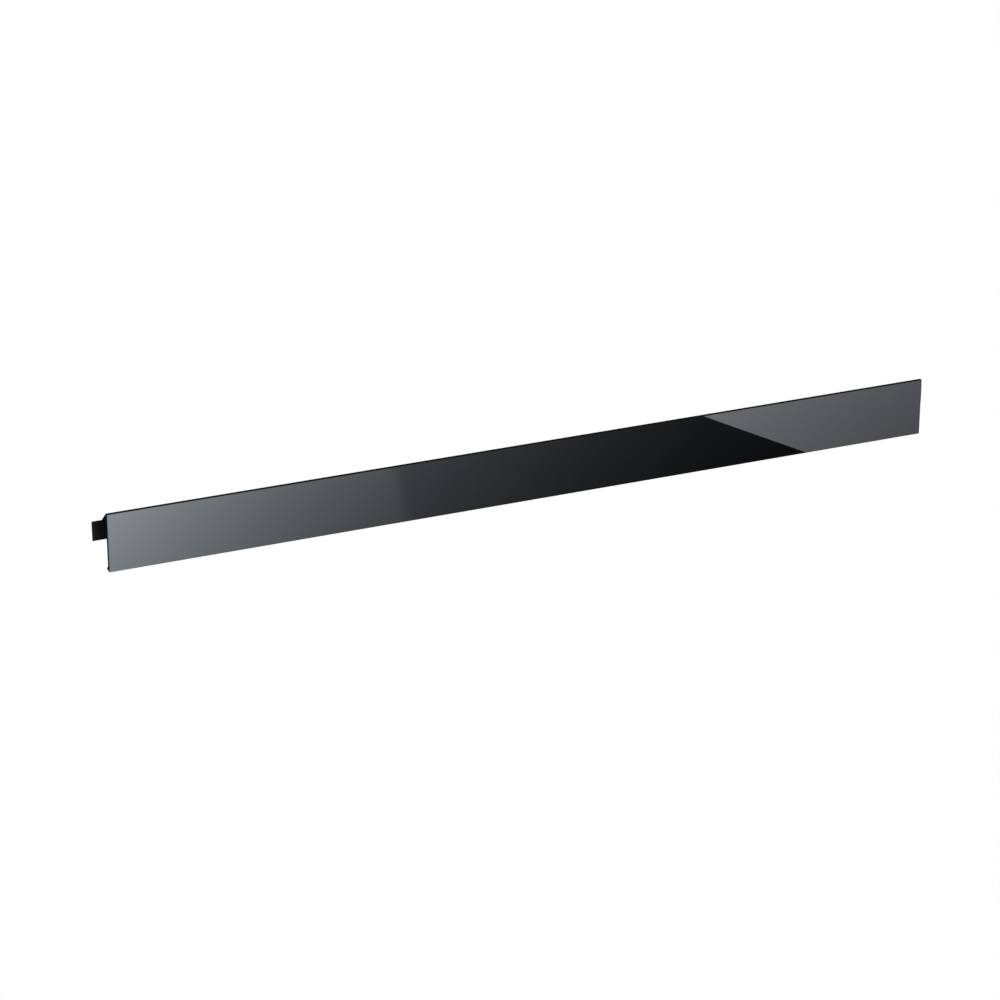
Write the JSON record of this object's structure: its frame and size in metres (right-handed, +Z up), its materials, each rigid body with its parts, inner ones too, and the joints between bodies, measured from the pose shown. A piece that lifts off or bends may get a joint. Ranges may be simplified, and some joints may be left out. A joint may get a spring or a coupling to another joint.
{
  "type": "kick plate",
  "caption": "Slim hang-on kick plate: gloss black fascia strip bonded to a black profile with a sloping top web, hanging hook leg with end ears and a wedge foot.",
  "frame": {"origin": "centre of the length, middle of the hook channel, level with the top of the clear full width of that channel, so a full-width rail seated in the hook has the middle of its top edge here", "axes": "+X along the length, +Y to the back (the hook side), +Z up; the fascia faces -Y"},
  "size_m": [0.6118, 0.0126, 0.041],
  "materials": {
    "gloss_fascia": "high-gloss black, mirror flat",
    "black_profile": "fine satin black anodised extrusion",
    "bonding_tape": "matte black acrylic foam tape"
  },
  "bodies": {
    "root": {"fascia": "gloss_fascia", "carrier": "black_profile", "tape_upper": "bonding_tape", "tape_lower": "bonding_tape"}
  },
  "joints": []
}
